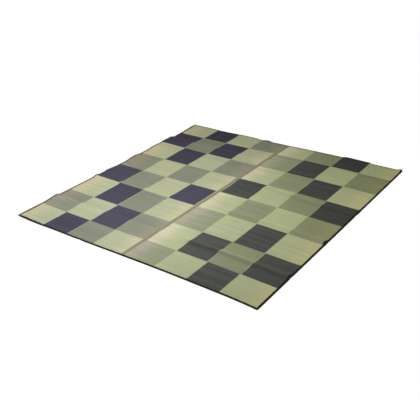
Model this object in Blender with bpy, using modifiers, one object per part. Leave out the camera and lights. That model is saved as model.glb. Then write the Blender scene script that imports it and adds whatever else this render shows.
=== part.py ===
# Rush rug lying flat: two woven rush panels side by side, their meeting edges covered by
# a narrow tape, and a dark binding folded over all four sides. The rug keeps the soft
# ridges of the folds it was stored in.
# Metres, +Z up. The origin is under the middle of the rug, on the surface it lies on.
# X runs along the front edge to the right, Y from the front edge to the back.

import math
from bisect import bisect_right
from collections import namedtuple

import bmesh
import bpy
from mathutils import Vector

RUG_WIDTH = 1.740
RUG_LENGTH = 1.800
HALF_WIDTH = RUG_WIDTH / 2
HALF_LENGTH = RUG_LENGTH / 2

MAT_THICKNESS = 0.0024
TAPE_THICKNESS = 0.0008
GAP = 0.0003
MILLIMETRE = 0.001

# The binding is a tape folded round the edge, with the mat between its two legs. It reaches
# in further on some sides than on others.
FRONT_REACH = 0.0115
RIGHT_REACH = 0.0125
BACK_REACH = 0.0075
LEFT_REACH = 0.0130
WIDEST_REACH = max(FRONT_REACH, RIGHT_REACH, BACK_REACH, LEFT_REACH)
BINDING_HEIGHT = MAT_THICKNESS + 2 * (TAPE_THICKNESS + GAP)
BINDING_ARC_STEPS = 4

# The mat's cut edge lies inside the binding's fold, raised by the leg under it, and comes
# down to the floor between two distances from the edge of the rug.
MAT_INSET = BINDING_HEIGHT / 2 + 0.0002
MAT_RISE = TAPE_THICKNESS + GAP
MAT_DOWN = 0.0280

SEAM_TAPE_WIDTH = 0.0090
SEAM_SPLIT = 0.0005

# A stored fold: a soft ridge across the rug. y_left, y_seam and y_right place its crest on
# the two sides and at the seam, the next four columns are the lengths of its front and back
# slopes on the two sides, all in metres. Then come its height in millimetres at the left
# side, mid left panel, seam, mid right panel and right side, and how many mesh rows cross
# the flat stretch in front of it.
Fold = namedtuple(
    "Fold",
    "name y_left y_seam y_right front_left front_right back_left back_right"
    " left mid_left seam mid_right right flat_rows",
)
FOLDS = (
    Fold("near", -0.583, -0.583, -0.591, 0.140, 0.042, 0.037, 0.050, 9.5, 4.5, 2.6, 8.0, 4.5, 1),
    Fold("second", -0.226, -0.190, -0.197, 0.062, 0.042, 0.043, 0.044, 6.8, 6.5, 3.0, 7.5, 3.5, 1),
    Fold("swell", -0.122, -0.110, -0.100, 0.038, 0.036, 0.080, 0.055, 3.3, 1.2, 0.0, 0.0, 0.0, 0),
    Fold("third", 0.174, 0.205, 0.160, 0.130, 0.042, 0.054, 0.042, 6.4, 4.0, 4.0, 8.0, 2.0, 1),
    Fold("far_swell", 0.395, 0.410, 0.415, 0.150, 0.085, 0.120, 0.065, 7.5, 1.5, 0.0, 0.0, 0.0, 1),
    Fold("far_front", 0.503, 0.505, 0.500, 0.090, 0.050, 0.075, 0.050, 9.9, 1.5, 0.0, 0.0, 0.0, 0),
    Fold("far", 0.573, 0.561, 0.550, 0.090, 0.060, 0.060, 0.050, 10.5, 6.5, 3.0, 1.2, 0.6, 0),
)
FOLD_STATIONS = (-HALF_WIDTH, -HALF_WIDTH / 2, 0.0, HALF_WIDTH / 2, HALF_WIDTH)
SLOPE_STEPS = (1.0, 0.64, 0.32)
ROW_SPACING = 0.0040  # the least between two mesh rows

# Places where the back edge stands off the floor. Each is at its full height, in millimetres,
# over a level stretch, and then slopes down: both along the edge and into the rug, in metres.
EdgeLift = namedtuple("EdgeLift", "name x level_along level_in slope_along slope_in height")
BACK_LIFTS = (
    EdgeLift("left_corner", -0.870, 0.000, 0.059, 0.260, 0.160, 8.9),
    EdgeLift("outer_left", -0.705, 0.045, 0.000, 0.050, 0.060, 2.8),
    EdgeLift("left", -0.380, 0.000, 0.000, 0.200, 0.080, 3.0),
    EdgeLift("middle", -0.175, 0.010, 0.000, 0.045, 0.050, 6.5),
    EdgeLift("right", 0.540, 0.090, 0.000, 0.030, 0.090, 6.5),
    EdgeLift("right_corner", 0.870, 0.020, 0.006, 0.024, 0.035, 5.5),
)

# The mat isn't quite square: how far the rushes at each x are drawn to the back and to the
# right, and how far the back edge alone is drawn to the back, in millimetres.
Drawn = namedtuple("Drawn", "x back right back_edge")
DRAWN = (
    Drawn(-0.870, 2.0, 3.5, -10.0),
    Drawn(-0.580, -1.5, 1.0, 0.0),
    Drawn(-0.290, -2.5, -1.0, 0.0),
    Drawn(-0.220, -1.8, -2.0, -8.0),
    Drawn(0.000, 0.5, -3.5, -9.0),
    Drawn(0.145, 3.5, -3.0, -9.0),
    Drawn(0.435, 2.5, -2.5, -9.0),
    Drawn(0.653, -3.0, -2.0, -12.0),
    Drawn(0.820, -9.0, -3.3, -10.0),
    Drawn(0.870, -10.0, -3.5, -3.0),
)
DRAWN_STATIONS = [mark.x for mark in DRAWN]
DRAWN_MIDDLE = -5.75  # puts the middle of the rug's length on the origin, in millimetres
BACK_EDGE_FROM = 0.780

# Mesh columns over the lifted stretches of the back edge, and mesh rows behind the folds.
LIFT_COLUMNS = (-0.790, -0.620, -0.200, -0.175, -0.150, -0.123, 0.420, 0.450, 0.630, 0.668)
BACK_ROWS = (0.690, 0.780, 0.805, 0.830, 0.852)
COLUMN_STEP = 0.100
SHARP_ANGLE = math.radians(50)

MAT_LEFT_COLOUR = (0.305, 0.297, 0.222)
MAT_RIGHT_COLOUR = (0.262, 0.250, 0.180)
BINDING_COLOUR = (0.032, 0.030, 0.022)
SEAM_COLOUR = (0.205, 0.172, 0.098)
MAT_ROUGHNESS = 0.62
TAPE_ROUGHNESS = 0.85


def ease(t):
    t = min(max(t, 0.0), 1.0)
    return t * t * (3 - 2 * t)


def read_between(x, stations, values):
    k = min(max(bisect_right(stations, x) - 1, 0), len(stations) - 2)
    t = ease((x - stations[k]) / (stations[k + 1] - stations[k]))
    return values[k] + (values[k + 1] - values[k]) * t


def across(left, right, x):
    return left + (right - left) * (x + HALF_WIDTH) / RUG_WIDTH


def crest_and_runs(fold, x):
    side = fold.y_left if x < 0 else fold.y_right
    crest = fold.y_seam + (side - fold.y_seam) * abs(x) / HALF_WIDTH
    front = across(fold.front_left, fold.front_right, x)
    back = across(fold.back_left, fold.back_right, x)
    return crest, front, back


def ridge(t):
    # A stiff mat lifted along a line: level at the crest and where it lands, at t = 1.
    t = min(abs(t), 1.0)
    return (1 - t) ** 3 * (1 + 3 * t)


def lift(x, y):
    total = 0.0
    for fold in FOLDS:
        crest, front, back = crest_and_runs(fold, x)
        heights = (fold.left, fold.mid_left, fold.seam, fold.mid_right, fold.right)
        run = front if y < crest else back
        total += read_between(x, FOLD_STATIONS, heights) * ridge((y - crest) / run)
    for place in BACK_LIFTS:
        aside = max(abs(x - place.x) - place.level_along, 0.0) / place.slope_along
        inward = max(HALF_LENGTH - y - place.level_in, 0.0) / place.slope_in
        total += place.height * ridge(aside) * ridge(inward)
    return total * MILLIMETRE


def drawn_to(x, y):
    # How far a point is moved to the right and to the back.
    right = read_between(x, DRAWN_STATIONS, [mark.right for mark in DRAWN])
    back = read_between(x, DRAWN_STATIONS, [mark.back for mark in DRAWN]) - DRAWN_MIDDLE
    at_edge = ease((y - BACK_EDGE_FROM) / (HALF_LENGTH - BACK_EDGE_FROM))
    back += read_between(x, DRAWN_STATIONS, [mark.back_edge for mark in DRAWN]) * at_edge
    return right * MILLIMETRE, back * MILLIMETRE


def lie(x, y, height):
    # Where a point of the flat rug comes to lie, at this height above the rug's underside.
    step = MILLIMETRE
    along_x = (lift(x + step, y) - lift(x - step, y)) / (2 * step)
    along_y = (lift(x, y + step) - lift(x, y - step)) / (2 * step)
    normal = Vector((-along_x, -along_y, 1.0)).normalized()
    right, back = drawn_to(x, y)
    return Vector((x + right, y + back, lift(x, y))) + normal * height


def mat_height(x, y):
    inward = min(HALF_WIDTH - abs(x), HALF_LENGTH - abs(y))
    return MAT_RISE * (1 - ease((inward - WIDEST_REACH) / (MAT_DOWN - WIDEST_REACH)))


def between(start, end, count):
    # Evenly spaced places between two others.
    return [start + (end - start) * k / (count + 1) for k in range(1, count + 1)]


def fold_rows(x):
    # Rows of the mesh from front to back at this x, close together over each ridge.
    rows = [-HALF_LENGTH + MAT_DOWN]
    for fold in FOLDS:
        crest, front, back = crest_and_runs(fold, x)
        rows += between(rows[-1], crest - front, fold.flat_rows)
        rows += [crest - front * step for step in SLOPE_STEPS]
        rows.append(crest)
        rows += [crest + back * step for step in reversed(SLOPE_STEPS)]
    # Where two ridges run into each other their rows take turns.
    rows.sort()
    for k in range(1, len(rows)):
        rows[k] = max(rows[k], rows[k - 1] + ROW_SPACING)
    return rows + list(BACK_ROWS) + [HALF_LENGTH - MAT_DOWN]


def main_columns():
    side = HALF_WIDTH - MAT_DOWN
    columns = [-side]
    inner_marks = sorted(set(DRAWN_STATIONS[1:-1]) | set(LIFT_COLUMNS))
    for mark in inner_marks + [side]:
        columns += between(columns[-1], mark, int((mark - columns[-1]) / COLUMN_STEP))
        columns.append(mark)
    return columns


def edge_columns(sign):
    # Mesh columns in the strip that the binding at this side covers.
    reach = RIGHT_REACH if sign > 0 else LEFT_REACH
    return [sign * (HALF_WIDTH - inward) for inward in (reach, MAT_INSET)]


def all_rows(x):
    near = [-HALF_LENGTH + MAT_INSET, -HALF_LENGTH + FRONT_REACH]
    far = [HALF_LENGTH - BACK_REACH, HALF_LENGTH - MAT_INSET]
    return near + fold_rows(x) + far


def new_material(name, colour, roughness):
    material = bpy.data.materials.new(name)
    material.use_nodes = True
    shader = material.node_tree.nodes["Principled BSDF"]
    shader.inputs["Base Color"].default_value = (*colour, 1.0)
    shader.inputs["Roughness"].default_value = roughness
    shader.inputs["Metallic"].default_value = 0.0
    return material


def grid_piece(name, place, columns, rows, thickness, side, material):
    # A flat grid with each point put where place(column, row) says, then given its
    # thickness on one side.
    across = columns - 1
    along = rows - 1
    bpy.ops.mesh.primitive_grid_add(x_subdivisions=across, y_subdivisions=along, size=1)
    piece = bpy.context.object
    piece.name = name
    piece.data.name = name
    for vertex in piece.data.vertices:
        column = round((vertex.co.x + 0.5) * across)
        row = round((vertex.co.y + 0.5) * along)
        vertex.co = place(column, row)
    shell = piece.modifiers.new("thickness", "SOLIDIFY")
    shell.thickness = thickness
    shell.offset = side
    shell.use_even_offset = True
    bpy.ops.object.modifier_apply(modifier=shell.name)
    piece.data.materials.append(material)
    piece.data.shade_smooth()
    piece.data.set_sharp_from_angle(angle=SHARP_ANGLE)
    return piece


def panel(name, sign, material):
    inner_columns = [x for x in main_columns() if x * sign > SEAM_SPLIT]
    columns = sorted([sign * SEAM_SPLIT / 2] + inner_columns + edge_columns(sign))
    rows = {x: all_rows(x) for x in columns}

    def place(column, row):
        x = columns[column]
        y = rows[x][row]
        return lie(x, y, mat_height(x, y))

    row_count = len(rows[columns[0]])
    return grid_piece(name, place, len(columns), row_count, MAT_THICKNESS, 1, material)


def seam_tape(name, material):
    half = SEAM_TAPE_WIDTH / 2
    first = -HALF_LENGTH + FRONT_REACH + GAP
    last = HALF_LENGTH - BACK_REACH - GAP
    columns = [-half, 0.0, half]
    rows = {x: [first] + fold_rows(x) + [last] for x in columns}

    def place(column, row):
        x = columns[column]
        y = rows[x][row]
        return lie(x, y, mat_height(x, y) + MAT_THICKNESS + GAP)

    row_count = len(rows[columns[0]])
    return grid_piece(name, place, len(columns), row_count, TAPE_THICKNESS, 1, material)


def binding_profile(reach):
    # Outer skin of the folded tape as distance inwards and height: along its lower leg,
    # round the edge and back along its upper leg.
    radius = BINDING_HEIGHT / 2
    profile = [(reach, 0.0)]
    for k in range(BINDING_ARC_STEPS + 1):
        turn = math.pi * k / BINDING_ARC_STEPS
        profile.append((radius - radius * math.sin(turn), radius - radius * math.cos(turn)))
    profile.append((reach, BINDING_HEIGHT))
    return profile


def mitre(piece, corner_x, corner_y, out_x, out_y):
    # Cuts the binding off square to the given direction, half a gap inside the corner.
    outward = Vector((out_x, out_y, 0.0)).normalized()
    right, back = drawn_to(corner_x, corner_y)
    corner = Vector((corner_x + right, corner_y + back, 0.0))
    mesh = bmesh.new()
    mesh.from_mesh(piece.data)
    everything = mesh.verts[:] + mesh.edges[:] + mesh.faces[:]
    bmesh.ops.bisect_plane(
        mesh,
        geom=everything,
        plane_co=corner - outward * GAP / 2,
        plane_no=outward,
        clear_outer=True,
    )
    rim = [edge for edge in mesh.edges if edge.is_boundary]
    bmesh.ops.holes_fill(mesh, edges=rim)
    mesh.to_mesh(piece.data)
    mesh.free()


def binding(name, half, reach, stations, to_rug, material):
    # The strip runs round the rug anticlockwise: stations(inward) are the places along its
    # own side, and to_rug turns them into places on the rug.
    profile = binding_profile(reach)
    count = len(stations(0.0)) + 2

    def place(column, row):
        inward, height = profile[row]
        along = ([-half] + stations(inward) + [half])[column]
        x, y = to_rug(along, inward)
        return lie(x, y, height)

    piece = grid_piece(name, place, count, len(profile), TAPE_THICKNESS, -1, material)
    for end in (-1, 1):
        corner = Vector(to_rug(end * half, 0.0))
        along = corner - Vector(to_rug(0.0, 0.0))
        inward = Vector(to_rug(0.0, 1.0)) - Vector(to_rug(0.0, 0.0))
        out = along.normalized() + inward.normalized()
        mitre(piece, corner.x, corner.y, out.x, out.y)
    return piece


def bindings(material):
    columns = sorted(edge_columns(-1) + main_columns() + edge_columns(1))
    back_columns = [-x for x in reversed(columns)]
    return [
        binding(
            "binding_front",
            HALF_WIDTH,
            FRONT_REACH,
            lambda inward: columns,
            lambda along, inward: (along, -HALF_LENGTH + inward),
            material,
        ),
        binding(
            "binding_right",
            HALF_LENGTH,
            RIGHT_REACH,
            lambda inward: all_rows(HALF_WIDTH - inward),
            lambda along, inward: (HALF_WIDTH - inward, along),
            material,
        ),
        binding(
            "binding_back",
            HALF_WIDTH,
            BACK_REACH,
            lambda inward: back_columns,
            lambda along, inward: (-along, HALF_LENGTH - inward),
            material,
        ),
        binding(
            "binding_left",
            HALF_LENGTH,
            LEFT_REACH,
            lambda inward: [-y for y in reversed(all_rows(-HALF_WIDTH + inward))],
            lambda along, inward: (-HALF_WIDTH + inward, -along),
            material,
        ),
    ]


def main():
    for thing in list(bpy.data.objects):
        bpy.data.objects.remove(thing)
    rug = bpy.data.collections.new("rush_rug")
    bpy.context.scene.collection.children.link(rug)

    mat_left = new_material("rush_left", MAT_LEFT_COLOUR, MAT_ROUGHNESS)
    mat_right = new_material("rush_right", MAT_RIGHT_COLOUR, MAT_ROUGHNESS)
    tape = new_material("seam_tape", SEAM_COLOUR, TAPE_ROUGHNESS)
    edging = new_material("edge_binding", BINDING_COLOUR, TAPE_ROUGHNESS)

    pieces = [
        panel("panel_left", -1, mat_left),
        panel("panel_right", 1, mat_right),
        seam_tape("seam_tape", tape),
    ]
    pieces += bindings(edging)
    for piece in pieces:
        for home in list(piece.users_collection):
            home.objects.unlink(piece)
        rug.objects.link(piece)


main()
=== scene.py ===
import math

import bmesh
import bpy
import numpy as np
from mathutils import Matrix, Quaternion, Vector


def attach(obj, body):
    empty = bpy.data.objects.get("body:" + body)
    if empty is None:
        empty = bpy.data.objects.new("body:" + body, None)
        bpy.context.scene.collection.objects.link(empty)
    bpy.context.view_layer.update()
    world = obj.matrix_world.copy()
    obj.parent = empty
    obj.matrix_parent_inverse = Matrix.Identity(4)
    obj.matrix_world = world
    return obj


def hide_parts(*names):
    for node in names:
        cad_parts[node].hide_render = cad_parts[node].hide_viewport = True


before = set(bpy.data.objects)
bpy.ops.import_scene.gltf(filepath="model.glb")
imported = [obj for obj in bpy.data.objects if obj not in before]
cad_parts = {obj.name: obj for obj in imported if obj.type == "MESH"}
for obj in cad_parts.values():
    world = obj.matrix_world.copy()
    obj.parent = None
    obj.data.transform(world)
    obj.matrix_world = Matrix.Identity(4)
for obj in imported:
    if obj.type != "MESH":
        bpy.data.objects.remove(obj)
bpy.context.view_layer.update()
bpy.ops.object.select_all(action="DESELECT")
print("frame loaded:", ", ".join(sorted(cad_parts)))

mm = 0.001

# The rug as a whole. X runs along the front edge, Y from the front to the back.
rug = {
    "width": 1.740,
    "length": 1.800,
    "matThickness": 2.4 * mm,
    "tapeThickness": 0.8 * mm,
    "gap": 0.3 * mm,
    "foldClear": 0.2 * mm,  # left between the mat's cut edge and the binding's fold
    "bindingReach": 13.0 * mm,  # how far in the widest binding reaches
    "matDown": 28.0 * mm,  # how far in from the edge the mat reaches the floor
}
halfWidth = rug["width"] / 2
halfLength = rug["length"] / 2
matRise = rug["tapeThickness"] + rug["gap"]
bindingHeight = rug["matThickness"] + 2 * matRise
matInset = bindingHeight / 2 + rug["foldClear"]

# Ridges left by the folds it was stored in. crest is where each lies at the left side, the seam
# and the right side, front and back are how long its slopes are at the left and right side, and
# height is in mm at foldStations.
folds = [
    {"crest": (-0.583, -0.583, -0.591), "front": (0.140, 0.042), "back": (0.037, 0.050),
     "height": (9.5, 4.5, 2.6, 8.0, 4.5)},
    {"crest": (-0.226, -0.190, -0.197), "front": (0.062, 0.042), "back": (0.043, 0.044),
     "height": (6.8, 6.5, 3.0, 7.5, 3.5)},
    {"crest": (-0.122, -0.110, -0.100), "front": (0.038, 0.036), "back": (0.080, 0.055),
     "height": (3.3, 1.2, 0.0, 0.0, 0.0)},
    {"crest": (0.174, 0.205, 0.160), "front": (0.130, 0.042), "back": (0.054, 0.042),
     "height": (6.4, 4.0, 4.0, 8.0, 2.0)},
    {"crest": (0.395, 0.410, 0.415), "front": (0.150, 0.085), "back": (0.120, 0.065),
     "height": (7.5, 1.5, 0.0, 0.0, 0.0)},
    {"crest": (0.503, 0.505, 0.500), "front": (0.090, 0.050), "back": (0.075, 0.050),
     "height": (9.9, 1.5, 0.0, 0.0, 0.0)},
    {"crest": (0.573, 0.561, 0.550), "front": (0.090, 0.060), "back": (0.060, 0.050),
     "height": (10.5, 6.5, 3.0, 1.2, 0.6)},
]
foldStations = (-halfWidth, -halfWidth / 2, 0.0, halfWidth / 2, halfWidth)

# Places where an edge stands off the floor, heights in mm. edge is 1 for the back one and -1
# for the front one. level and slope are how far each place goes along the edge and how far
# inwards: at its full height, and then going down.
lifts = [
    {"edge": 1, "x": -0.870, "level": (0.0, 0.059), "slope": (0.260, 0.160), "height": 8.9},
    {"edge": 1, "x": -0.705, "level": (0.045, 0.0), "slope": (0.050, 0.060), "height": 2.8},
    {"edge": 1, "x": -0.380, "level": (0.0, 0.0), "slope": (0.200, 0.080), "height": 3.0},
    {"edge": 1, "x": -0.175, "level": (0.010, 0.0), "slope": (0.045, 0.050), "height": 6.5},
    {"edge": 1, "x": 0.544, "level": (0.086, 0.0), "slope": (0.030, 0.090), "height": 6.5},
    {"edge": 1, "x": 0.870, "level": (0.020, 0.006), "slope": (0.024, 0.035), "height": 5.5},
    {"edge": -1, "x": -0.318, "level": (0.0, 0.0), "slope": (0.035, 0.030), "height": 2.5},
]

# The mat isn't quite square. In mm, at each x: how far the rushes are drawn to the back and
# to the right, and how far the back edge alone is.
drawn = {
    "x": (-0.870, -0.580, -0.290, -0.220, 0.000, 0.145, 0.435, 0.653, 0.820, 0.870),
    "back": (2.0, -1.5, -2.5, -1.8, 0.5, 3.5, 2.5, -3.0, -9.0, -10.0),
    "right": (3.5, 1.0, -1.0, -2.0, -3.5, -3.0, -2.5, -2.0, -3.3, -3.5),
    "backEdge": (-10.0, 0.0, 0.0, -8.0, -9.0, -9.0, -9.0, -12.0, -10.0, -3.0),
    "middle": -5.75,  # puts the middle of the rug's length on the origin
    "edgeFrom": 0.780,  # where the back edge begins to differ
    # How far the front edge alone is drawn to the back at each x, and the left edge alone to
    # the right at each y. Both moves fade out within edgeReach.
    "frontX": (-0.87, -0.80, -0.76, -0.64, -0.58, -0.50, 0.00, 0.12, 0.35, 0.48, 0.60, 0.78,
               0.83, 0.87),
    "frontEdge": (4.0, 2.0, 0.0, 0.0, 2.0, 2.5, 2.5, 0.8, 1.4, 0.0, 2.0, 2.0, 0.0, -3.5),
    "leftY": (-0.060, -0.030, 0.060, 0.110, 0.585, 0.622, 0.660, 0.760, 0.805, 0.850),
    "leftEdge": (0.0, 5.0, 5.0, 0.0, 0.0, 5.5, 0.0, 0.0, 3.0, 0.0),
    "edgeReach": 0.100,
    "corner": 2.0,  # how blunt the corners are
    "backRight": 4.0,  # how much blunter the back right one is
    "cornerReach": 0.018,
}

# Shallow waves all over the mat, between the folds.
ripples = {
    "count": 14,
    "shortest": 0.07,
    "longest": 0.34,
    "turns": (0.25, 0.75),  # of half a turn, so that they run more or less as the folds do
    "height": 0.55 * mm,
    "seed": 7,
}


def ease(t):
    t = np.clip(t, 0.0, 1.0)
    return t * t * (3 - 2 * t)


def readBetween(x, stations, values):
    stations = np.asarray(stations)
    values = np.asarray(values)
    k = np.clip(np.searchsorted(stations, x, side="right") - 1, 0, len(stations) - 2)
    t = ease((x - stations[k]) / (stations[k + 1] - stations[k]))
    return values[k] + (values[k + 1] - values[k]) * t


def across(values, x):
    return np.interp(x, np.linspace(-halfWidth, halfWidth, len(values)), values)


def ridge(t):
    # 1 on the crest and 0 from the foot on.
    t = np.minimum(np.abs(t), 1.0)
    return (1 - t) ** 3 * (1 + 3 * t)


def makeWaves():
    pick = np.random.default_rng(ripples["seed"])
    made = []
    for _ in range(ripples["count"]):
        turn = pick.uniform(*ripples["turns"]) * math.pi
        length = pick.uniform(ripples["shortest"], ripples["longest"])
        made.append((math.cos(turn) / length, math.sin(turn) / length, pick.uniform(0, 1)))
    return made


waves = makeWaves()


def rippleAt(x, y):
    total = 0.0
    for alongX, alongY, start in waves:
        total = total + 0.5 + 0.5 * np.sin(2 * math.pi * (x * alongX + y * alongY + start))
    return total / len(waves) * ripples["height"]


def wavesAlong(places, perMetre, starts):
    # A few even waves added up, each shorter than the one before.
    first, more = perMetre
    total = sum(
        np.sin(2 * math.pi * (places * (first + more * k) + start))
        for k, start in enumerate(starts)
    )
    return total / len(starts)


def liftAt(x, y):
    total = 0.0
    for fold in folds:
        crest = across(fold["crest"], x)
        run = np.where(y < crest, across(fold["front"], x), across(fold["back"], x))
        total = total + readBetween(x, foldStations, fold["height"]) * ridge((y - crest) / run)
    for lift in lifts:
        aside = np.maximum(np.abs(x - lift["x"]) - lift["level"][0], 0.0)
        inward = np.maximum(halfLength - y * lift["edge"] - lift["level"][1], 0.0)
        share = ridge(aside / lift["slope"][0]) * ridge(inward / lift["slope"][1])
        total = total + lift["height"] * share
    return total * mm + rippleAt(x, y)


def drawnTo(x, y):
    # Moves to the right and to the back, in metres.
    stations = drawn["x"]
    atEdge = ease((y - drawn["edgeFrom"]) / (halfLength - drawn["edgeFrom"]))
    sideways = readBetween(x, stations, drawn["right"])
    backwards = readBetween(x, stations, drawn["back"]) - drawn["middle"]
    backwards = backwards + readBetween(x, stations, drawn["backEdge"]) * atEdge
    atFront = 1 - ease((y + halfLength) / drawn["edgeReach"])
    backwards = backwards + readBetween(x, drawn["frontX"], drawn["frontEdge"]) * atFront
    atLeft = 1 - ease((x + halfWidth) / drawn["edgeReach"])
    sideways = sideways + readBetween(y, drawn["leftY"], drawn["leftEdge"]) * atLeft
    nearSide = 1 - ease((halfWidth - np.abs(x)) / drawn["cornerReach"])
    nearEnd = 1 - ease((halfLength - np.abs(y)) / drawn["cornerReach"])
    blunt = (drawn["corner"] + drawn["backRight"] * (x > 0) * (y > 0)) * nearSide * nearEnd
    return (sideways - np.sign(x) * blunt) * mm, (backwards - np.sign(y) * blunt) * mm


def lay(x, y, height):
    # Where points of the flat rug come to lie, at these heights above its underside.
    x, y, height = np.broadcast_arrays(*(np.asarray(n, float) for n in (x, y, height)))
    step = mm
    slopeX = (liftAt(x + step, y) - liftAt(x - step, y)) / (2 * step)
    slopeY = (liftAt(x, y + step) - liftAt(x, y - step)) / (2 * step)
    size = np.sqrt(slopeX**2 + slopeY**2 + 1)
    moveX, moveY = drawnTo(x, y)
    laidX = x + moveX - slopeX / size * height
    laidY = y + moveY - slopeY / size * height
    return np.stack([laidX, laidY, liftAt(x, y) + height / size], axis=-1)


def matHeight(x, y):
    # The mat lies on the binding's lower leg at its edge, and on the floor further in.
    inward = np.minimum(halfWidth - np.abs(x), halfLength - np.abs(y))
    down = (inward - rug["bindingReach"]) / (rug["matDown"] - rug["bindingReach"])
    return matRise * (1 - ease(down))


# Shader maths: a wire is an output socket, and sums on wires add Math nodes.
class Wire:
    def __init__(self, finish, socket):
        self.finish = finish
        self.socket = socket

    def maths(self, operation, other=0.0, swapped=False):
        pair = {0: other, 1: self} if swapped else {0: self, 1: other}
        return self.finish.node("ShaderNodeMath", {"operation": operation}, pair)

    def __add__(self, other):
        return self.maths("ADD", other)

    def __sub__(self, other):
        return self.maths("SUBTRACT", other)

    def __mul__(self, other):
        return self.maths("MULTIPLY", other)

    def __truediv__(self, other):
        return self.maths("DIVIDE", other)

    def __rsub__(self, other):
        return self.maths("SUBTRACT", other, swapped=True)

    def __rtruediv__(self, other):
        return self.maths("DIVIDE", other, swapped=True)

    def __gt__(self, other):
        return self.maths("GREATER_THAN", other)

    def __lt__(self, other):
        return self.maths("LESS_THAN", other)

    __radd__ = __add__
    __rmul__ = __mul__

    def floor(self):
        return self.maths("FLOOR")

    def fraction(self):
        return self.maths("FRACT")

    def size(self):
        return self.maths("ABSOLUTE")

    def least(self, other):
        return self.maths("MINIMUM", other)

    def most(self, other):
        return self.maths("MAXIMUM", other)

    def wave(self):
        return self.maths("SINE")


# One finish is one material, with the nodes that are added to it. Its fixed values go on the
# shader's own sockets. Where a wire is joined to one later, they are left as a plain stand-in.
class Finish:
    def __init__(self, name, fixed):
        self.material = bpy.data.materials.new(name)
        self.material.use_nodes = True
        self.nodes = self.material.node_tree.nodes
        self.links = self.material.node_tree.links
        self.shader = self.nodes["Principled BSDF"]
        for socket, value in fixed.items():
            self.shader.inputs[socket].default_value = value

    def node(self, kind, settings=None, sockets=None, out=0):
        made = self.nodes.new(kind)
        for name, value in (settings or {}).items():
            if name == "stops":
                self.setStops(made.color_ramp, value)
            else:
                setattr(made, name, value)
        for name, value in (sockets or {}).items():
            self.join(made.inputs[name], value)
        return Wire(self, made.outputs[out])

    def join(self, socket, value):
        if isinstance(value, Wire):
            self.links.new(value.socket, socket)
        else:
            socket.default_value = value[:3] if socket.type == "VECTOR" else value

    def setStops(self, ramp, shades):
        # Even steps, one for each shade.
        ramp.interpolation = "CONSTANT"
        while len(ramp.elements) < len(shades):
            ramp.elements.new(1.0)
        for k, shade in enumerate(shades):
            ramp.elements[k].position = k / len(shades)
            ramp.elements[k].color = grey(shade)

    def show(self, socket, wire):
        self.join(self.shader.inputs[socket], wire)

    def onMap(self):
        # The two places on the piece's weave map, in metres along the cloth.
        flat = self.node("ShaderNodeUVMap", {"uv_map": "weave"})
        first = self.node("ShaderNodeSeparateXYZ", None, {0: flat})
        return first, Wire(self, first.socket.node.outputs[1])

    def onObject(self):
        return self.node("ShaderNodeTexCoord", out=3)

    def noise(self, vector, detail, seed, scale=1.0):
        settings = {"noise_dimensions": "4D"}
        sockets = {"Vector": vector, "W": seed, "Scale": scale, "Detail": detail}
        return self.node("ShaderNodeTexNoise", settings, sockets)

    def cloud(self, x, y, look, luck=None):
        # Noise with its own scale along x and y. Luck moves it on along x.
        alongX, alongY = look["scale"]
        x = x * alongX
        if luck is not None:
            x = x + luck * look["jump"]
        return self.noise(self.place(x, y * alongY), look["detail"], look["seed"])

    def chance(self, wire, seed):
        # An even random number for each whole value of the wire.
        return self.node("ShaderNodeTexWhiteNoise", {"noise_dimensions": "1D"}, {"W": wire + seed})

    def place(self, x, y, z=0.0):
        return self.node("ShaderNodeCombineXYZ", None, {"X": x, "Y": y, "Z": z})

    def rise(self, wire, start, end):
        # 0 up to start, 1 from end on, smooth between them.
        settings = {"interpolation_type": "SMOOTHSTEP"}
        sockets = {"Value": wire, "From Min": start, "From Max": end}
        return self.node("ShaderNodeMapRange", settings, sockets)

    def band(self, wire, start, full, fading, end):
        # 1 from full to fading, and 0 outside start and end.
        return self.rise(wire, start, full) * (1.0 - self.rise(wire, fading, end))

    def blend(self, share, first, second):
        settings = {"data_type": "RGBA", "blend_type": "MIX"}
        sockets = {"Factor": share, 6: first, 7: second}
        return self.node("ShaderNodeMix", settings, sockets, out=2)

    def product(self, first, second):
        settings = {"operation": "MULTIPLY"}
        return self.node("ShaderNodeVectorMath", settings, {0: first, 1: second})

    def tint(self, colour, amount):
        # A colour made lighter or darker by a number.
        return self.product(colour, self.place(amount, amount, amount))

    def bump(self, height, depth):
        sockets = {"Height": height, "Distance": depth, "Strength": 1.0}
        self.show("Normal", self.node("ShaderNodeBump", None, sockets))


def rgb(red, green, blue):
    return (red, green, blue, 1.0)


def grey(value):
    return rgb(value, value, value)


# The blocks of the weave. Each line is a row of blocks, the back one first, with the left
# panel's four and then the right panel's: l is pale, m mixed and d dark.
chart = (
    "ldlm lmdl",
    "dmdl mdlm",
    "ldlm lmdl",
    "mlml dlmd",
    "dmld lmlm",
    "ldml mldl",
    "mldm ldmd",
    "ldml mldl",
)
blocks = {
    "columns": 4,  # on each panel
    "rowLines": (-0.701, -0.468, -0.229, 0.005, 0.238, 0.470, 0.707),
    "width": 0.20878,
    "leftStart": -0.8490,
    "rightStart": 0.0117,
    "margin": 0.0140,  # undyed, between the blocks and the seam
    "underBinding": 0.040,  # so near the side the outer blocks run on under the binding
    "darkInset": 3.2 * mm,
    "edgeJitter": 1.6 * mm,
    "mixedFrom": 0.25,  # halfway between the values below
    "darkFrom": 0.75,
}
shadeOf = {"l": 0.0, "m": 0.5, "d": 1.0}

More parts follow.
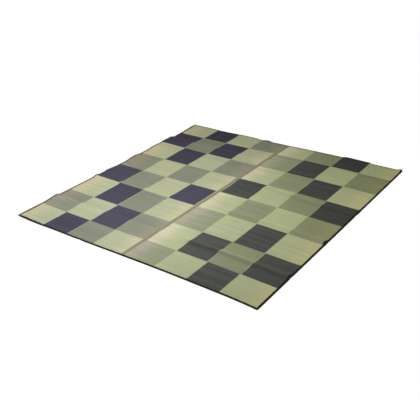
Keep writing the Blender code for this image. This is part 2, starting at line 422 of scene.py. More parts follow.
weave = {
    "ribs": 598,  # raised rows of rush from front to back
    "depth": 0.50 * mm,
    "shoulder": 0.30,  # of a rib's width, on both sides of its flat top
    "heightChange": 0.16 * mm,
    "shift": 0.20 * mm,
    "wander": (1.5, 2.3),  # waves a metre of the first one, and how many more of each next
    "wanderWaves": 3,
    "warpPitch": 10.5 * mm,
    "undersideStep": 4,  # ribs to a row of faces underneath
    "columns": 38,
    "edgeColumns": (14.0 * mm, 21.0 * mm),  # more of them where the mat comes down
    "seamSplit": 0.25 * mm,  # from the seam's line to the mat's cut edge
    "smooth": 70,  # degrees
    "seed": 11,
}
ribStart = -(halfLength - matInset)
ribPitch = -2 * ribStart / weave["ribs"]
ribRows = 3  # mesh rows to a rib: its groove and the two edges of its top

leftRush = {
    "pale": rgb(0.446, 0.468, 0.296),
    "dark": rgb(0.068, 0.062, 0.089),
    "darkStreaks": 0.30,
    # The leans paint a falloff of light and sheen to the right; this panel has none.
    "darkLean": 0.0,  # how much darker the dark rushes get to the right, for each metre
    "mixedLean": 0.0,
    "yellowLean": (0.0, 0.0),  # how much yellower pale and mixed blocks get to the right
    "dyeLot": 766.5,
    "dry": rgb(0.500, 0.470, 0.300),
    "margin": rgb(0.330, 0.305, 0.205),
    "mixed": 0.54,  # share of dark rushes in the mixed blocks
    "mixedTint": rgb(1.02, 1.04, 1.02),
    "sideTint": rgb(1.23, 1.10, 1.07),  # of the rushes' ends at the rug's side
    "seamTint": rgb(1.22, 1.14, 1.14),
    "sideReach": 0.075,
    "seamReach": -0.010,
    "seamFade": 0.03,  # how much lighter all is near the seam
    # Painted shade and highlight along the folds, in place of the shading of their slopes: how
    # dark the front is, how light the back, where the crest is at the panel's left and right edge,
    # and from which x to which.
    "paintedFoldShades": (
        {"crest": (-0.563, -0.572), "front": -0.02, "back": -0.06, "x": (-0.95, 0.10)},
        {"crest": (0.628, 0.630), "front": 0.0, "back": -0.09, "x": (-0.95, -0.15)},
        {"crest": (0.696, 0.690), "front": 0.05, "back": 0.0, "x": (-0.95, 0.10)},
    ),
}
rightRush = {
    "pale": rgb(0.458, 0.491, 0.280),
    "dark": rgb(0.076, 0.080, 0.071),
    "darkStreaks": 0.75,
    # The leans paint a falloff of light and sheen to the right.
    "darkLean": 0.22,
    "mixedLean": 0.12,
    "yellowLean": (0.10, 0.22),
    "dyeLot": 367.5,
    "dry": rgb(0.540, 0.505, 0.280),
    "margin": rgb(0.330, 0.315, 0.205),
    "mixed": 0.472,
    "mixedTint": rgb(1.01, 1.02, 0.98),
    "sideTint": rgb(1.215, 1.12, 1.05),
    "seamTint": rgb(1.29, 1.16, 1.34),
    "sideReach": 0.060,
    "seamReach": 0.0,
    "seamFade": 0.07,
    "paintedFoldShades": (
        {"crest": (-0.579, -0.583), "front": 0.24, "back": 0.07, "x": (0.15, 0.95)},
        {"crest": (-0.178, -0.197), "front": 0.02, "back": 0.06, "x": (0.15, 0.95)},
        {"crest": (0.226, 0.156), "front": 0.14, "back": 0.02, "x": (0.10, 0.95)},
        {"crest": (0.575, 0.575), "front": 0.10, "back": 0.02, "x": (0.17, 0.47)},
    ),
}

# What the rushes of both panels share. A change is how far a shade goes from light to dark,
# and a pair is where a fade begins and ends.
rushLook = {
    "luckSeeds": (3.5, 90.5),
    "nudge": 0.001,  # of a rib, keeps a groove's own points with the rib behind it
    "turnChange": 0.50,  # between the two turns of a mixed block
    "lotChange": 0.22,  # between the dark rushes of the rows of blocks
    "leanMiddle": 0.43,  # the x that the leans to the right are counted from
    # The next three paint the change of light and sheen towards the back.
    "darkerBack": 0.17,  # dark rushes, for each metre to the back
    "lighterBack": 0.02,  # all rushes
    "yellowerBack": 0.06,
    "rushChange": 0.16,
    "driftChange": 0.12,
    "streaks": 0.16,
    "mixedStreaks": 0.12,  # more of them in mixed blocks
    "patchChange": 0.14,
    "mottleChange": 0.10,
    "darkMottle": 0.22,
    "dryFrom": (0.45, 0.80),
    "dryShare": 0.3,
    "unevenEnds": 0.16,
    "unevenRush": 0.03,
    "sideFade": (-0.13, 0.0),
    "seamEndFade": (-0.07, 0.05),
    "seamFade": (0.10, 0.36),
    # Where the painted fold shade and highlight lie, counted from each crest.
    "creaseFront": (-0.042, -0.024, -0.020, -0.004),  # starts, is full, fades and ends
    "creaseBack": (-0.004, 0.008, 0.018, 0.055),
    "creaseFade": 0.12,
    "creaseLeast": 0.6,
    "creaseChange": 0.8,
    "groove": (0.70, 1.0),  # from the middle of a rib to its groove
    "nip": (0.78, 0.98),
    "grooveShade": 0.35,
    "nipShade": 0.10,
    "roughness": 0.66,
    "rushRoughness": 0.10,
    "grooveRoughness": 0.2,
    "fibreDepth": 0.10,  # in mm, as the next two
    "swellDepth": 0.30,
    "nipDepth": 0.35,
}
# Noises over the mat. Scales are for each metre along and across the rushes. In drift and swell
# the second is for each rib, and jump sends every rib to a stretch of its own.
clouds = {
    "drift": {"scale": (3.0, 0.37), "detail": 3.0, "seed": 1.0, "jump": 40},
    "bundle": {"scale": (1.4, 40), "detail": 3.0, "seed": 2.0},
    "patch": {"scale": (4, 7), "detail": 2.0, "seed": 3.0},
    "mottle": {"scale": (28, 55), "detail": 3.0, "seed": 8.0},
    "ends": {"scale": (0, 9), "detail": 4.0, "seed": 4.0},
    # How strong the painted fold shade and highlight are from place to place.
    "crease": {"scale": (6, 2), "detail": 2.0, "seed": 7.0},
    "fibres": {"scale": (22, 2600), "detail": 2.0, "seed": 5.0},
    "swell": {"scale": (30, 0.7), "detail": 1.0, "seed": 6.0, "jump": 17},
}


def rushFinish(name, rush, column, start, outward):
    look = rushLook
    finish = Finish(name, {"Roughness": 0.75, "Specular IOR Level": 0.08})
    x, y = finish.onMap()
    inRibs = (y - ribStart) / ribPitch
    rib = (inRibs + look["nudge"]).floor()
    ribLuck, ribLuckToo = (finish.chance(rib, seed) for seed in look["luckSeeds"])

    # Which block this is: a ramp for each column of blocks, read from front to back.
    jitter = (ribLuck - 0.5) * (2 * blocks["edgeJitter"])
    along = (x + jitter - start) / blocks["width"]
    whichColumn = along.floor().most(0).least(blocks["columns"] - 1)
    fromSide = halfWidth - x * outward
    fromSeam = x * outward
    atSide = fromSide < blocks["underBinding"]
    fromLine = 0.5 - (along.fraction() - 0.5).size() + atSide
    ribMiddle = (rib + 0.5) * ribPitch + ribStart
    row = sum(ribMiddle > line for line in blocks["rowLines"])  # 0 at the front
    inRow = (row + 0.5) / len(chart)
    block = 0.0
    for k in range(blocks["columns"]):
        stops = [shadeOf[line.split()[column][k]] for line in reversed(chart)]
        shade = finish.node("ShaderNodeValToRGB", {"stops": stops}, {0: inRow})
        isHere = (whichColumn - k).size() < 0.5
        block = block + shade * isHere
    isDark = (block > blocks["darkFrom"]) * (fromLine > blocks["darkInset"] / blocks["width"])
    isMixed = (block > blocks["mixedFrom"]) * (block < blocks["darkFrom"])
    notDark = 1.0 - isDark

    # In mixed blocks pale and dark rushes take turns, over one warp and under the next.
    warp = (x / weave["warpPitch"]).floor()
    turn = ((rib + warp) / 2).fraction() * 2
    mixedShare = rush["mixed"] + (turn - 0.5) * look["turnChange"]
    darkShare = isDark + isMixed * mixedShare
    fromMiddle = x - look["leanMiddle"]
    lot = (finish.chance(row, rush["dyeLot"]) - 0.5) * look["lotChange"]
    # Painted light falloff: dark rushes darker to the back and to the right.
    paintedFalloff = y * look["darkerBack"] + fromMiddle * rush["darkLean"]
    darkRush = finish.tint(rush["dark"], 1.0 + lot - paintedFalloff)

    # Each rush has its own shade, which drifts along it.
    drift = finish.cloud(x, rib, clouds["drift"], ribLuck)
    bundle = finish.cloud(x, y, clouds["bundle"])
    patch = finish.cloud(x, y, clouds["patch"])
    mottle = finish.cloud(x, y, clouds["mottle"])
    streaks = look["streaks"] + isMixed * look["mixedStreaks"] + isDark * rush["darkStreaks"]
    bright = (
        1.0
        # painted light: a little lighter to the back
        + y * look["lighterBack"]
        + (ribLuckToo - 0.5) * look["rushChange"]
        + (drift - 0.5) * look["driftChange"]
        + (bundle - 0.5) * streaks
        + (patch - 0.5) * look["patchChange"]
        + (mottle - 0.5) * (look["mottleChange"] + isDark * look["darkMottle"])
    )
    dryShare = finish.rise(drift, *look["dryFrom"]) * look["dryShare"]
    pale = finish.blend(dryShare, rush["pale"], rush["dry"])
    colour = finish.blend(darkShare, pale, darkRush)
    colour = finish.blend(isMixed, colour, finish.product(colour, rush["mixedTint"]))
    # Painted sheen: pale and mixed blocks yellower to the back and to the right.
    paleYellow, mixedYellow = rush["yellowLean"]
    yellowLean = isMixed * (mixedYellow - paleYellow) + paleYellow
    paintedSheenYellow = y * look["yellowerBack"] + fromMiddle * yellowLean
    colour = finish.product(colour, finish.place(1.0, 1.0, 1.0 - paintedSheenYellow))

    # Towards its ends a rush is paler and warmer, unevenly so.
    ends = finish.cloud(0.0, y, clouds["ends"])
    uneven = ends * look["unevenEnds"] + ribLuckToo * look["unevenRush"]
    toSide = 1.0 - finish.rise(fromSide - uneven - rush["sideReach"], *look["sideFade"])
    toSeam = 1.0 - finish.rise(fromSeam - uneven - rush["seamReach"], *look["seamEndFade"])
    colour = finish.blend(toSide * notDark, colour, finish.product(colour, rush["sideTint"]))
    colour = finish.blend(toSeam * notDark, colour, finish.product(colour, rush["seamTint"]))
    isMargin = fromSeam + jitter < blocks["margin"]
    colour = finish.blend(isMargin, colour, rush["margin"])

    # Painted shade and highlight along the folds, in place of the shading of their slopes,
    # stronger here and weaker there.
    strength = look["creaseLeast"] + finish.cloud(x, y, clouds["crease"]) * look["creaseChange"]
    panelStart = min(outward, 0) * halfWidth
    for crease in rush["paintedFoldShades"]:
        leftEnd, rightEnd = crease["crest"]
        first, last = crease["x"]
        fade = look["creaseFade"]
        slant = (rightEnd - leftEnd) / halfWidth
        behind = y - leftEnd - (x - panelStart) * slant
        front = finish.band(behind, *look["creaseFront"])
        back = finish.band(behind, *look["creaseBack"])
        here = finish.band(x, first, first + fade, last - fade, last) * strength
        bright = bright * (1.0 - front * here * crease["front"] + back * here * crease["back"])
    nearSeam = 1.0 - finish.rise(fromSeam, *look["seamFade"])
    bright = bright * (1.0 + nearSeam * rush["seamFade"])
    # Painted light falloff: mixed blocks darker to the right.
    bright = bright * (1.0 - isMixed * fromMiddle * rush["mixedLean"])

    # Dust and shade between the ribs, and the cotton warps that nip them.
    valley = (inRibs.fraction() - 0.5).size() * 2
    groove = finish.rise(valley, *look["groove"])
    fromWarp = ((x / weave["warpPitch"]).fraction() - 0.5).size() * 2
    nip = finish.rise(fromWarp, *look["nip"])
    bright = bright * (1.0 - groove * look["grooveShade"]) * (1.0 - nip * look["nipShade"])
    finish.show("Base Color", finish.tint(colour, bright))
    rough = look["roughness"] + ribLuck * look["rushRoughness"] + groove * look["grooveRoughness"]
    finish.show("Roughness", rough)

    fibres = finish.cloud(x, y, clouds["fibres"])
    swell = finish.cloud(x, rib, clouds["swell"], ribLuck)
    relief = fibres * look["fibreDepth"] + swell * look["swellDepth"] - nip * look["nipDepth"]
    finish.bump(relief, mm)
    return finish.material


def gridPiece(name, columns, rows):
    # A flat grid, whose points are then placed by their column and row.
    bpy.ops.mesh.primitive_grid_add(
        x_subdivisions=columns - 1, y_subdivisions=rows - 1, size=1.0, calc_uvs=False
    )
    piece = bpy.context.object
    piece.name = name
    piece.data.name = name
    points = piece.data.vertices
    flat = readEach(points, "co", len(points) * 3, float).reshape(-1, 3)
    column = np.rint((flat[:, 0] + 0.5) * (columns - 1)).astype(int)
    row = np.rint((flat[:, 1] + 0.5) * (rows - 1)).astype(int)
    return piece, column, row


def setPlaces(piece, places):
    piece.data.vertices.foreach_set("co", np.asarray(places, np.float32).ravel())
    piece.data.update()


def putIn(name, data, place=(0, 0, 0)):
    made = bpy.data.objects.new(name, data)
    bpy.context.scene.collection.objects.link(made)
    made.location = place
    return made


def takeUp(piece):
    # Makes the piece the one that operators work on.
    bpy.ops.object.select_all(action="DESELECT")
    piece.select_set(True)
    bpy.context.view_layer.objects.active = piece


def thicken(piece, thickness, side):
    shell = piece.modifiers.new("thickness", "SOLIDIFY")
    shell.thickness = thickness
    shell.offset = side
    shell.use_even_offset = True
    takeUp(piece)
    bpy.ops.object.modifier_apply(modifier=shell.name)


def cut(point, normal, **settings):
    # Bisects the active piece.
    bpy.ops.object.mode_set(mode="EDIT")
    bpy.ops.mesh.select_all(action="SELECT")
    bpy.ops.mesh.bisect(plane_co=point, plane_no=normal, **settings)
    bpy.ops.object.mode_set(mode="OBJECT")


def finishPiece(piece, finish, angle):
    piece.data.materials.append(finish)
    takeUp(piece)
    bpy.ops.object.shade_smooth_by_angle(angle=math.radians(angle))
    piece.select_set(False)


def readEach(items, key, count, kind):
    # One value of every item, such as each face's number of corners.
    values = np.empty(count, kind)
    items.foreach_get(key, values)
    return values


def cornerVertices(piece):
    loops = piece.data.loops
    return readEach(loops, "vertex_index", len(loops), np.int32)


def setMap(piece, name, u, v):
    # A UV map given by a place for each vertex, or for each corner of each face.
    places = np.stack([u, v], axis=-1)
    if len(places) == len(piece.data.vertices):
        places = places[cornerVertices(piece)]
    layer = piece.data.uv_layers.new(name=name, do_init=False)
    layer.uv.foreach_set("vector", np.asarray(places, np.float32).ravel())


def panelColumns(sign):
    insets = (matInset, rug["bindingReach"], *weave["edgeColumns"])
    edge = [halfWidth - inset for inset in insets]
    last = halfWidth - rug["matDown"]
    spread = np.linspace(weave["seamSplit"], last, weave["columns"] + 1)
    return np.sort(sign * np.array(list(spread) + edge))


def panelRows(pick):
    # Flat place of each row, its place on the weave map and how far below the top it is.
    ribs = weave["ribs"]
    lines = ribStart + ribPitch * np.arange(ribs + 1)
    shifts = pick.uniform(-1, 1, ribs + 1) * weave["shift"]
    shifts[[0, -1]] = 0.0
    grooves = lines + shifts
    wide = np.diff(grooves)
    tops = pick.uniform(0, 1, ribs) * weave["heightChange"]
    shoulder = weave["shoulder"]
    flat, mapped, below = (np.empty(ribRows * ribs + 1) for _ in range(3))
    flat[::ribRows] = grooves
    mapped[::ribRows] = lines
    below[::ribRows] = weave["depth"]
    for offset, share in ((1, shoulder), (2, 1 - shoulder)):
        flat[offset::ribRows] = grooves[:-1] + wide * share
        mapped[offset::ribRows] = lines[:-1] + ribPitch * share
        below[offset::ribRows] = tops
    return flat, mapped, below


def wanderAt(x, row, pick):
    # Rushes wander a little between the warps.
    starts = pick.uniform(0, 1, (row.max() + 2, weave["wanderWaves"]))
    return wavesAlong(x, weave["wander"], starts[row // ribRows].T) * weave["shift"]


def wovenPanel(name, sign, finish):
    pick = np.random.default_rng(weave["seed"] + sign)
    columns = panelColumns(sign)
    flat, mapped, below = panelRows(pick)
    lastRow = len(flat) - 1
    piece, column, row = gridPiece(name, len(columns), len(flat))
    thicken(piece, rug["matThickness"], -1)
    x, y = columns[column], flat[row]
    inner = (row > 0) & (row < lastRow)
    yTop = y + wanderAt(x, row, pick) * inner
    upper = lay(x, yTop, matHeight(x, y) + rug["matThickness"] - below[row])
    lower = lay(x, y, matHeight(x, y))
    setPlaces(piece, np.concatenate([upper, lower]))
    thinUnderside(piece, row, lastRow)
    mapPanel(piece, columns, mapped)
    finishPiece(piece, finish, weave["smooth"])
    return piece


def thinUnderside(piece, row, lastRow):
    # The underside keeps one row of faces for every few ribs.
    top = len(row)
    step = ribRows * weave["undersideStep"]
    mesh = bmesh.new()
    mesh.from_mesh(piece.data)
    layers = mesh.verts.layers.int
    for name in ("row", "under"):
        layers.new(name)
    rowOf, under = layers["row"], layers["under"]
    for k, vertex in enumerate(mesh.verts):
        vertex[rowOf] = int(row[k % top])
        vertex[under] = int(k >= top)

    def goes(edge):
        a, b = edge.verts
        if not (a[under] and b[under]) or a[rowOf] != b[rowOf]:
            return False
        return a[rowOf] % step and a[rowOf] != lastRow

    chosen = [edge for edge in mesh.edges if goes(edge)]
    bmesh.ops.dissolve_edges(mesh, edges=chosen, use_verts=True)
    mesh.to_mesh(piece.data)
    mesh.free()


# The map that a panel's finish is drawn on: the woven face, its cut edges round it, and the
# underside in a narrow strip beside them. Shares of the map's side.
panelMap = {"rim": 0.004, "face": 0.88, "underStart": 0.90, "under": 0.09}


def mapPanel(piece, columns, mapped):
    data = piece.data
    count = len(data.vertices)
    rows = readEach(data.attributes["row"].data, "value", count, np.int32)
    under = readEach(data.attributes["under"].data, "value", count, np.int32)
    x = readEach(data.vertices, "co", count * 3, float)[0::3]
    nearest = np.abs(columns[None, :] - x[:, None]).argmin(axis=1)
    flatX, flatY = columns[nearest], mapped[rows]
    setMap(piece, "weave", flatX, flatY)

    rim = panelMap["rim"]
    alongU = rim + (1 - 2 * rim) * (flatY - ribStart) / (-2 * ribStart)
    share = (flatX - columns[0]) / (columns[-1] - columns[0])
    alongV = rim + (panelMap["face"] - 2 * rim) * share
    middleU, middleV = 0.5, panelMap["face"] / 2
    rimU = middleU + (alongU - middleU) * (1 + rim)
    rimV = middleV + (alongV - middleV) * (1 + rim)
    underV = panelMap["underStart"] + panelMap["under"] * share
    corners = cornerVertices(piece)
    totals = readEach(data.polygons, "loop_total", len(data.polygons), np.int32)
    faceOf = np.repeat(np.arange(len(totals)), totals)
    underCount = np.bincount(faceOf, under[corners])
    allUnder = (underCount == totals)[faceOf]
    noneUnder = (underCount == 0)[faceOf]
    isRim = ~allUnder & ~noneUnder & (under[corners] == 1)
    u = np.where(isRim, rimU[corners], alongU[corners])
    v = np.where(isRim, rimV[corners], alongV[corners])
    setMap(piece, "OFBake", u, np.where(allUnder, underV[corners], v))
    for name in ("row", "under"):
        data.attributes.remove(data.attributes[name])


# What the woven tapes share: two noises over them, and what the threads and noises do.
tapeLook = {
    "broad": {"scale": (30, 120), "detail": 3.0, "seed": 1.0},
    "fine": {"scale": (900, 900), "detail": 2.0, "seed": 2.0},
    "wornFrom": (0.35, 0.70),
    "paintedSheenTo": (0.016, 0.030),  # from the rug's left side
    "bright": 0.90,
    "grainShade": 0.10,
    "fineShade": 0.20,
    "roughness": 0.78,
    "fineRoughness": 0.16,
    "grainDepth": 0.12,  # in mm, as the next
    "fineDepth": 0.08,
}


def tapeFinish(name, tape):
    look = tapeLook
    finish = Finish(name, {"Roughness": 0.85, "Specular IOR Level": 0.06})
    along, over = finish.onMap()
    threads = math.pi / tape["thread"]
    grain = (along * threads).wave() * (over * threads).wave()  # they take turns on top
    broad = finish.cloud(along, over, look["broad"])
    fine = finish.cloud(along, over, look["fine"])
    colour = finish.blend(finish.rise(broad, *look["wornFrom"]), tape["colour"], tape["worn"])
    # Painted sheen: along the rug's left side the tape is drawn lighter and browner.
    if "paintedSheen" in tape:
        fromLeft = finish.node("ShaderNodeSeparateXYZ", None, {0: finish.onObject()}) + halfWidth
        colour = finish.blend(finish.rise(fromLeft, *look["paintedSheenTo"]), tape["paintedSheen"], colour)
    bright = look["bright"] + grain * look["grainShade"] + fine * look["fineShade"]
    finish.show("Base Color", finish.tint(colour, bright))
    finish.show("Roughness", look["roughness"] + fine * look["fineRoughness"])
    finish.bump(grain * look["grainDepth"] + fine * look["fineDepth"], mm)
    return finish.material


# Along the tape its middle and its breadth wander in a few waves. wander and breadth are how
# many of the first one go in a metre, and how many more of each next.
seam = {
    "width": 9.0 * mm,
    "unevenness": 0.7 * mm,
    "wander": (2, 5),
    "breadth": (4, 9),
    "waves": 4,
    "dome": 0.25 * mm,
    "colour": rgb(0.252, 0.224, 0.131),
    "worn": rgb(0.308, 0.276, 0.170),
    "thread": 0.9 * mm,
    "columns": 7,
    "rowStep": 6.0 * mm,
    "smooth": 50,
    "seed": 23,
}


def seamTape(name, finish):
    first = -halfLength + sides["front"]["reach"] + rug["gap"]
    last = halfLength - sides["back"]["reach"] - rug["gap"]
    rowCount = int((last - first) / seam["rowStep"])
    piece, column, row = gridPiece(name, seam["columns"], rowCount + 1)
    y = np.linspace(first, last, rowCount + 1)[row]
    share = column / (seam["columns"] - 1) * 2 - 1
    pick = np.random.default_rng(seam["seed"])
    count = seam["waves"]
    starts = pick.uniform(0, 1, 2 * count)
    wander = wavesAlong(y, seam["wander"], starts[:count])
    breadth = wavesAlong(y, seam["breadth"], starts[count:])
    x = wander * seam["unevenness"] + share * (seam["width"] / 2 + breadth * seam["unevenness"])
    dome = (1 - share**2) * seam["dome"]
    height = matHeight(x, y) + rug["matThickness"] + rug["gap"] + dome
    setPlaces(piece, lay(x, y, height))
    setMap(piece, "weave", y, x)
    thicken(piece, rug["tapeThickness"], 1)
    finishPiece(piece, finish, seam["smooth"])
    return piece


binding = {
    "colour": rgb(0.014, 0.013, 0.009),
    "worn": rgb(0.032, 0.028, 0.019),
    # Painted sheen along the left side, lighter and browner than the tape.
    "paintedSheen": rgb(0.110, 0.085, 0.060),  # along the left side
    "thread": 0.8 * mm,
    "arcSteps": 8,
    "legSteps": 3,
    "step": 9.0 * mm,
    "wave": 0.18 * mm,  # height of the waves that the stitches pull in
    "waveLength": 27.0 * mm,
    "waveStart": 2 * mm,  # inwards from the edge
    "waveRise": 3 * mm,
    "shadowPuckerReach": 0.050,
    "pushedUp": 1.0 * mm,
    # pushedDown lowers the tape's lower leg to the floor, a painted shadow under the lifted edge.
    "pushedDown": 2.4 * mm,
    "pushedIn": 0.45,
    "smooth": 50,
}


def bindingProfile(reach):
    # Outer skin of the folded tape as distance inwards and height: lower leg, edge, upper leg.
    radius = bindingHeight / 2
    legs = np.linspace(reach, radius, binding["legSteps"] + 1)[:-1]
    profile = [(inward, 0.0) for inward in legs]
    for k in range(binding["arcSteps"] + 1):
        turn = math.pi * k / binding["arcSteps"]
        profile.append((radius - radius * math.sin(turn), radius - radius * math.cos(turn)))
    profile += [(inward, bindingHeight) for inward in reversed(legs)]
    return np.array(profile)


# Along a side a runs to the left as seen from the middle, and d is the distance inwards. Shadow
# puckers are where the tape bulges along a, and how much. There its dark tape is pushed down to
# the floor as a painted shadow under the lifted edge.
sides = {
    "front": {
        "half": halfWidth,
        "reach": 11.5 * mm,
        "x": lambda a, d: a,
        "y": lambda a, d: d - halfLength,
        "shadowPuckers": {-0.830: 0.5, -0.790: 0.5, -0.750: 0.5, -0.710: 0.5, -0.670: 0.4},
    },
    "right": {
        "half": halfLength,
        "reach": 12.5 * mm,
        "x": lambda a, d: halfWidth - d,
        "y": lambda a, d: a,
        "shadowPuckers": {-0.590: 1.0, -0.203: 1.5, 0.210: 1.0, 0.900: 1.0},
    },
    "back": {
        "half": halfWidth,
        "reach": 7.5 * mm,
        "x": lambda a, d: -a,
        "y": lambda a, d: halfLength - d,
        "shadowPuckers": {},
    },
    "left": {
        "half": halfLength,
        "reach": 13.0 * mm,
        "x": lambda a, d: d - halfWidth,
        "y": lambda a, d: -a,
        "shadowPuckers": {0.830: 0.5, 0.790: 0.5, 0.750: 0.5, -0.720: 0.5, -0.760: 0.5, -0.800: 0.6,
                    -0.840: 0.6},
    },
}


def edgeBinding(name, side, finish):
    half = side["half"]
    profile = bindingProfile(side["reach"])
    count = int(2 * half / binding["step"])
    piece, column, row = gridPiece(name, count + 1, len(profile))
    along = np.linspace(-half, half, count + 1)[column]
    inward, height = profile[row, 0], profile[row, 1]
    # At a shadow pucker the tape is pushed up, in and down to the floor. The dark tape reaching
    # the floor is a painted shadow under the lifted edge.
    bulgeAndShadow = sum(
        size * ridge((along - at) / binding["shadowPuckerReach"]) for at, size in side["shadowPuckers"].items()
    )
    upper = ease(height / bindingHeight)
    wave = np.sin(along * 2 * math.pi / binding["waveLength"])
    wave = wave * ease((inward - binding["waveStart"]) / binding["waveRise"])
    height = height + (wave * binding["wave"] + bulgeAndShadow * binding["pushedUp"]) * upper
    height = height - bulgeAndShadow * binding["pushedDown"] * (1 - upper)
    inward = inward * (1 + bulgeAndShadow * binding["pushedIn"] * upper)
    places = lay(side["x"](along, inward), side["y"](along, inward), height)
    places[:, 2] = np.maximum(places[:, 2], 0.0)
    setPlaces(piece, places)
    stretch = np.concatenate([[0.0], np.cumsum(np.hypot(*np.diff(profile, axis=0).T))])
    setMap(piece, "weave", along, stretch[row])
    thicken(piece, rug["tapeThickness"], -1)
    for end in (-1, 1):
        mitre(piece, side, end)
    finishPiece(piece, finish, binding["smooth"])
    return piece


def mitre(piece, side, end):
    # Cuts the strip off at its corner of the rug, on a line halfway between the two sides.
    cornerX, cornerY = side["x"](end * side["half"], 0.0), side["y"](end * side["half"], 0.0)
    middleX, middleY = side["x"](0.0, 0.0), side["y"](0.0, 0.0)
    along = Vector((cornerX - middleX, cornerY - middleY)).normalized()
    inwards = Vector((side["x"](0.0, 1.0) - middleX, side["y"](0.0, 1.0) - middleY))
    normal = (along + inwards).normalized().to_3d()
    moveX, moveY = drawnTo(np.array(cornerX), np.array(cornerY))
    corner = Vector((cornerX + float(moveX), cornerY + float(moveY), 0.0))
    takeUp(piece)
    cut(corner - normal * rug["gap"] / 2, normal, use_fill=True, clear_outer=True)


stitch = {
    "length": 3.2 * mm,
    "radius": 0.36 * mm,
    "corners": 5,  # round the thread
    "bend": 0.28,  # share of its length from the middle to where it dips
    "end": 0.4,  # what lies further out than this share is sunk
    "sink": 0.66 * mm,
    "turn": 0.12,  # how far it may lie askew, in radians
    "sizes": (0.88, 1.10),
    "bindingPitch": 5.2 * mm,
    "bindingLine": 1.5 * mm,  # in from the tape's inner edge
    "bindingEnd": 10.0 * mm,  # left free at the rug's corners
    "bindingProud": 0.05 * mm,
    "seamPitch": 4.4 * mm,
    "seamLine": 3.3 * mm,
    "seamEnd": 4 * mm,
    "seamProud": 0.15 * mm,
    "bindingColour": rgb(0.016, 0.016, 0.013),
    "seamColour": rgb(0.330, 0.290, 0.185),
    "smooth": 60,
    "seed": 31,
}


def oneStitch():
    # A short thread that dips into the cloth at both ends: its points and faces.
    length = stitch["length"]
    along = (0, math.pi / 2, 0)
    bpy.ops.mesh.primitive_cylinder_add(
        vertices=stitch["corners"], radius=stitch["radius"], depth=length, rotation=along
    )
    model = bpy.context.object
    bpy.ops.object.transform_apply(location=True, rotation=True, scale=True)
    for share in (-stitch["bend"], stitch["bend"]):
        cut((share * length, 0, 0), (1, 0, 0))
    points = np.array([v.co[:] for v in model.data.vertices])
    faces = [list(f.vertices) for f in model.data.polygons]
    bpy.data.objects.remove(model)
    points[:, 2] -= stitch["sink"] * (np.abs(points[:, 0]) > stitch["end"] * length)
    return points, faces


def stitchRow(name, lines, finish):
    # Copies of the stitch as one mesh. Each line has their places, and places just ahead.
    places, ahead = (np.concatenate(part) for part in zip(*lines))
    headings = ahead - places
    points, faces = oneStitch()
    count = len(places)
    askew = stitch["turn"]
    pick = np.random.default_rng(stitch["seed"])
    turn = np.arctan2(headings[:, 1], headings[:, 0]) + pick.uniform(-askew, askew, count)
    size = pick.uniform(*stitch["sizes"], count)[:, None]
    x = points[None, :, 0] * size
    y = points[None, :, 1]
    c, s = np.cos(turn)[:, None], np.sin(turn)[:, None]
    slope = (headings[:, 2] / np.hypot(headings[:, 0], headings[:, 1]))[:, None]
    moved = np.stack([x * c - y * s, x * s + y * c, points[None, :, 2] + x * slope], axis=-1)
    moved = moved + places[:, None, :]
    mesh = bpy.data.meshes.new(name)
    allFaces = [[k * len(points) + v for v in face] for k in range(count) for face in faces]
    mesh.from_pydata(moved.reshape(-1, 3).tolist(), [], allFaces)
    mesh.update()
    piece = putIn(name, mesh)
    finishPiece(piece, finish, stitch["smooth"])
    return piece


def bindingStitches(finish):
    lines = []
    height = bindingHeight + stitch["bindingProud"]
    for side in sides.values():
        half = side["half"] - stitch["bindingEnd"]
        along = np.arange(-half, half, stitch["bindingPitch"])
        inward = side["reach"] - stitch["bindingLine"]
        lines.append([
            lay(side["x"](a, inward), side["y"](a, inward), height) for a in (along, along + mm)
        ])
    return stitchRow("binding_stitches", lines, finish)


def seamStitches(finish):
    first = -halfLength + sides["front"]["reach"] + stitch["seamEnd"]
    last = halfLength - sides["back"]["reach"] - stitch["seamEnd"]
    y = np.arange(first, last, stitch["seamPitch"])
    height = rug["matThickness"] + rug["gap"] + rug["tapeThickness"] + stitch["seamProud"]
    lines = [
        [lay(x, y + ahead, matHeight(x, y) + height) for ahead in (0.0, mm)]
        for x in (-stitch["seamLine"], stitch["seamLine"])
    ]
    return stitchRow("seam_stitches", lines, finish)


threadLook = {
    "scale": 900.0,
    "detail": 2.0,
    "seed": 1.0,
    "bright": 0.75,
    "fuzzShade": 0.5,
    "roughness": 0.6,
    "fuzzRoughness": 0.2,
    "fuzzDepth": 0.1,  # in mm
}


def threadFinish(name, colour):
    look = threadLook
    finish = Finish(name, {"Roughness": 0.7, "Specular IOR Level": 0.25})
    fuzz = finish.noise(finish.onObject(), look["detail"], look["seed"], look["scale"])
    finish.show("Base Color", finish.tint(colour, look["bright"] + fuzz * look["fuzzShade"]))
    finish.show("Roughness", look["roughness"] + fuzz * look["fuzzRoughness"])
    finish.bump(fuzz * look["fuzzDepth"], mm)
    return finish.material


# Camera and studio.
camera = {
    "lens": 53.91,
    "sensor": 36.0,
    "farthest": 200.0,
    "place": (2.1263, -2.8786, 1.7592),
    "aim": (0.0955, -0.2179, 0.0),
    "roll": -2.83,
}
studio = {
    "floorRadius": 30.0,
    "floorCorners": 96,
    "wallHeight": 5.0,
    "floorShade": 0.03,
    "floorGlow": 0.99,
    "world": 0.12,
    "keyPlace": (-0.50, -0.50, 2.05),
    "keySize": 1.0,
    "keyPower": 46.5,
    "backPlace": (4.0, 5.0, 2.4),
    "backAim": (0.62, -0.35, 0.0),
    "backAngle": 17.0,
    "backSize": 0.5,
    "backPower": 550.0,
}


def turnTo(place, aim):
    return (Vector(aim) - Vector(place)).to_track_quat("-Z", "Y")


def addCamera():
    data = bpy.data.cameras.new("camera")
    data.lens = camera["lens"]
    data.sensor_width = camera["sensor"]
    data.clip_end = camera["farthest"]
    roll = Quaternion((0, 0, 1), math.radians(camera["roll"]))
    eye = putIn("camera", data, camera["place"])
    eye.rotation_euler = (turnTo(camera["place"], camera["aim"]) @ roll).to_euler()
    bpy.context.scene.camera = eye


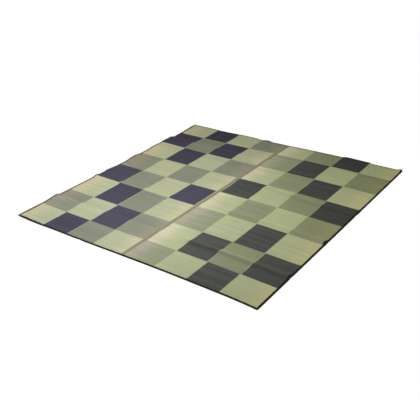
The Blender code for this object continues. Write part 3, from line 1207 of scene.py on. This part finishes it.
def addStage():
    # A round floor with a wall, both white and glowing.
    bpy.ops.mesh.primitive_circle_add(
        vertices=studio["floorCorners"], radius=studio["floorRadius"], fill_type="NGON"
    )
    floor = bpy.context.object
    floor.name = "floor"
    bpy.ops.object.mode_set(mode="EDIT")
    bpy.ops.mesh.select_all(action="SELECT")
    bpy.ops.mesh.extrude_region_move(
        TRANSFORM_OT_translate={"value": (0, 0, studio["wallHeight"])}
    )
    bpy.ops.mesh.delete(type="ONLY_FACE")
    bpy.ops.object.mode_set(mode="OBJECT")
    fixed = {
        "Roughness": 0.9,
        "Specular IOR Level": 0.0,
        "Base Color": grey(studio["floorShade"]),
        "Emission Color": grey(1),
        "Emission Strength": studio["floorGlow"],
    }
    floor.data.materials.append(Finish("stage_floor", fixed).material)


def addLights():
    scene = bpy.context.scene
    world = bpy.data.worlds.new("world")
    world.use_nodes = True
    background = world.node_tree.nodes["Background"]
    background.inputs["Color"].default_value = grey(1)
    background.inputs["Strength"].default_value = studio["world"]
    scene.world = world

    key = bpy.data.lights.new("key", "AREA")
    key.shape = "DISK"
    key.size = studio["keySize"]
    key.energy = studio["keyPower"]
    keyLight = putIn("key", key, studio["keyPlace"])  # unturned, it faces down
    keyLight.visible_camera = False

    back = bpy.data.lights.new("back", "SPOT")
    back.energy = studio["backPower"]
    back.spot_size = math.radians(studio["backAngle"])
    back.spot_blend = 1.0
    back.shadow_soft_size = studio["backSize"]
    backLight = putIn("back", back, studio["backPlace"])
    backLight.rotation_euler = turnTo(studio["backPlace"], studio["backAim"]).to_euler()

    scene.view_settings.view_transform = "Standard"
    scene.view_settings.look = "None"


def main():
    addCamera()
    addStage()
    addLights()
    print("camera and studio ready")

    rushLeft = rushFinish("rush_left", leftRush, 0, blocks["leftStart"], -1)
    rushRight = rushFinish("rush_right", rightRush, 1, blocks["rightStart"], 1)
    edging = tapeFinish("edge_binding", binding)
    brown = tapeFinish("seam_tape", seam)
    print("finishes ready")

    left = wovenPanel("woven_left", -1, rushLeft)
    right = wovenPanel("woven_right", 1, rushRight)
    print("panels woven:", len(left.data.polygons) + len(right.data.polygons), "faces")

    tape = seamTape("joining_tape", brown)
    strips = {name: edgeBinding("edging_" + name, side, edging) for name, side in sides.items()}
    sewing = bindingStitches(threadFinish("binding_thread", stitch["bindingColour"]))
    seamSewing = seamStitches(threadFinish("seam_thread", stitch["seamColour"]))
    print("tapes sewn on")

    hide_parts("panel_left")
    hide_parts("panel_right")
    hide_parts("seam_tape")
    for name, strip in strips.items():
        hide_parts("binding_" + name)
    for piece in [left, right, tape, sewing, seamSewing, *strips.values()]:
        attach(piece, "root")


main()
bpy.context.view_layer.update()
